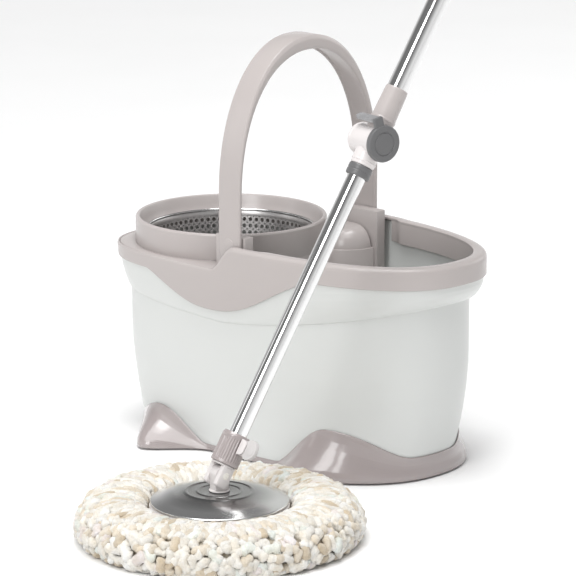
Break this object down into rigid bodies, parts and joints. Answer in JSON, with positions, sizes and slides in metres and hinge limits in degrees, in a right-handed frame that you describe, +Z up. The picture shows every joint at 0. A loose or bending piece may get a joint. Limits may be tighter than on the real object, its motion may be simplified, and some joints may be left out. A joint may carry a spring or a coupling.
{
  "type": "spin mop with bucket",
  "caption": "Oval wringing bucket with spin basket and folding arch handle, beside a telescopic spin mop with a round yarn head.",
  "frame": {"origin": "centre of the whole set's bounding box, at floor level under the feet and the mop pad", "axes": "+X along the bucket's long axis from the basket to the water side, +Y from the mop head towards the bucket's back, +Z up"},
  "size_m": [0.6078, 0.7482, 1.0768],
  "materials": {
    "taupe_plastic": "satin moulded",
    "dark_taupe_plastic": "glossy moulded",
    "white_plastic": "glossy moulded",
    "dark_grey_plastic": "matte moulded",
    "foot_rubber": "matte",
    "polished_steel": "finely brushed",
    "basket_steel": "brushed",
    "yarn": "looped yarn"
  },
  "bodies": {
    "bucket": {"bucket_tub": "white_plastic", "rim_collar": "taupe_plastic", "basket_housing": "taupe_plastic", "base_skirt": "dark_taupe_plastic", "foot_front_left": "foot_rubber", "foot_front_right": "foot_rubber", "foot_back_left": "foot_rubber", "foot_back_right": "foot_rubber", "basket_pedestal": "white_plastic", "basket_axle": "polished_steel", "soap_tank": "taupe_plastic", "soap_spring": "polished_steel", "pivot_screw_front": "polished_steel", "pivot_screw_back": "polished_steel"},
    "bail": {"carry_handle": "taupe_plastic"},
    "basket": {"wringer_basket": "basket_steel", "basket_lip": "polished_steel", "basket_hub": "dark_grey_plastic"},
    "soap_button": {"soap_cap": "taupe_plastic"},
    "mop_head": {"mop_pad": "yarn", "yarn_carrier": "white_plastic", "head_plate": "polished_steel"},
    "swivel": {"swivel_base": "white_plastic", "swivel_washer": "polished_steel"},
    "lower_pole": {"hinge_pin": "polished_steel", "fork_connector": "white_plastic", "connector_sleeve": "taupe_plastic", "tab_bracket": "white_plastic", "lower_tube": "polished_steel", "drive_nut": "white_plastic"},
    "lock_tab": {"head_lock_tab": "dark_grey_plastic"},
    "seal": {"tube_seal_ring": "dark_grey_plastic"},
    "upper_pole": {"lock_barrel": "white_plastic", "barrel_sleeve": "taupe_plastic", "upper_tube": "polished_steel", "drive_screw": "polished_steel", "screw_plug": "white_plastic", "hand_grip": "taupe_plastic", "end_cap": "dark_grey_plastic"},
    "lever": {"lock_lever": "dark_grey_plastic"}
  },
  "joints": [
    {"name": "handle_fold", "type": "hinge", "parent": "bucket", "child": "bail", "pos_m": [-0.06727, 0.13866, 0.265], "axis": [0, 1, 0], "range_deg": [-78, 64]},
    {"name": "basket_spin", "type": "hinge", "parent": "bucket", "child": "basket", "pos_m": [-0.18267, 0.13866, 0.2], "axis": [0, 0, 1], "continuous": true},
    {"name": "soap_press", "type": "slide", "parent": "bucket", "child": "soap_button", "axis": [0, 0, -1], "range_m": [0, 0.006], "stiffness_N_per_m": 400, "deforming": ["soap_spring"]},
    {"name": "mop_lift", "type": "slide", "parent": "bucket", "child": "mop_head", "axis": [0, 0, 1], "range_m": [0, 0.5]},
    {"name": "head_swivel", "type": "hinge", "parent": "mop_head", "child": "swivel", "pos_m": [0.14193, -0.21214, 0.054], "axis": [0, 0, 1], "continuous": true},
    {"name": "pole_tilt", "type": "hinge", "parent": "swivel", "child": "lower_pole", "pos_m": [0.14193, -0.21214, 0.075], "axis": [0.9802, -0.1982, 0], "range_deg": [-14, 120]},
    {"name": "lock_tab_pull", "type": "hinge", "parent": "lower_pole", "child": "lock_tab", "pos_m": [0.16721, -0.19812, 0.10655], "axis": [0.1704, 0.8426, -0.5108], "range_deg": [-25, 0], "stiffness_Nm_per_rad": 0.05},
    {"name": "pole_press", "type": "slide", "parent": "lower_pole", "child": "seal", "axis": [-0.1012, -0.5007, -0.8597], "range_m": [0, 0.11]},
    {"name": "pole_twist", "type": "hinge", "parent": "seal", "child": "upper_pole", "pos_m": [0.18374, -0.00534, 0.43005], "axis": [0.1012, 0.5007, 0.8597], "range_deg": [-361, 0]},
    {"name": "lever_turn", "type": "hinge", "parent": "upper_pole", "child": "lever", "pos_m": [0.18374, -0.00534, 0.43005], "axis": [0.9754, -0.2202, 0.0134], "range_deg": [0, 60]}
  ],
  "couplings": [
    {"joint": "pole_twist", "follows": "pole_press", "rad_per_m": -57.12}
  ]
}
